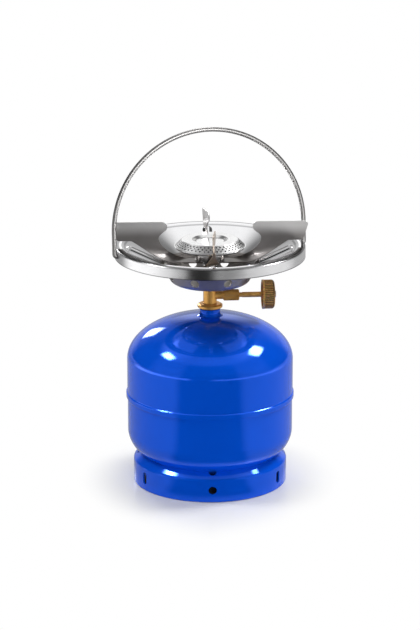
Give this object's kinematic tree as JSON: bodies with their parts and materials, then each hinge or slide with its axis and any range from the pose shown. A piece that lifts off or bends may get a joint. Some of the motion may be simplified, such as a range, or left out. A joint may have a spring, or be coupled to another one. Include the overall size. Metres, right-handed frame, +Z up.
{
  "type": "single-burner gas camping stove",
  "caption": "Single-burner camping stove with a drip bowl, upright pan supports, side knob and swinging bail, screwed on a squat refillable gas bottle.",
  "frame": {"origin": "centre of the foot ring on the ground", "axes": "+Z up along the bottle's axis, +X along the bail's pivots, on the side of the knob"},
  "size_m": [0.2474, 0.235, 0.4473],
  "materials": {
    "bottle_paint": "glossy deep blue paint",
    "brass": "satin, slightly rough brass",
    "bowl_steel": "polished dish with a brushed skirt",
    "support_steel": "satin sheet steel",
    "burner_steel": "bright plated steel",
    "knob_plate": "yellow passivated zinc plate",
    "wire_steel": "drawn steel wire",
    "plain_steel": "zinc-plated steel",
    "seal_rubber": "black rubber"
  },
  "bodies": {
    "stove": {"foot_ring": "bottle_paint", "lower_shell": "bottle_paint", "upper_shell": "bottle_paint", "neck_boss": "bottle_paint", "check_valve": "brass", "check_pin": "plain_steel", "check_disc": "seal_rubber", "check_spring": "plain_steel", "spring_keeper": "plain_steel", "neck_washer": "seal_rubber", "valve_body": "brass", "packing_ring": "seal_rubber", "bonnet": "brass", "gas_jet": "brass", "bowl": "bowl_steel", "bowl_nut": "plain_steel", "mixing_tube": "burner_steel", "lower_pan_support": "support_steel", "upper_pan_support": "support_steel", "burner_base": "burner_steel", "burner_cap": "burner_steel"},
    "seat": {"seat_pad": "seal_rubber"},
    "valve_handle": {"spindle": "brass", "control_knob": "knob_plate", "knob_screw": "plain_steel"},
    "bail": {"bail_handle": "wire_steel"}
  },
  "joints": [
    {"name": "seat_slide", "type": "slide", "parent": "stove", "child": "seat", "axis": [0.9781, -0.2079, 0], "range_m": [0, 0.0015]},
    {"name": "knob_turn", "type": "hinge", "parent": "seat", "child": "valve_handle", "pos_m": [0.07189, -0.01528, 0.2375], "axis": [0.9781, -0.2079, 0], "range_deg": [0, 540]},
    {"name": "bail_swing", "type": "hinge", "parent": "stove", "child": "bail", "pos_m": [0, 0, 0.2955], "axis": [1, 0, 0], "range_deg": [-131, 139]}
  ],
  "couplings": [
    {"joint": "seat_slide", "follows": "knob_turn", "m_per_rad": 0.00015915}
  ]
}
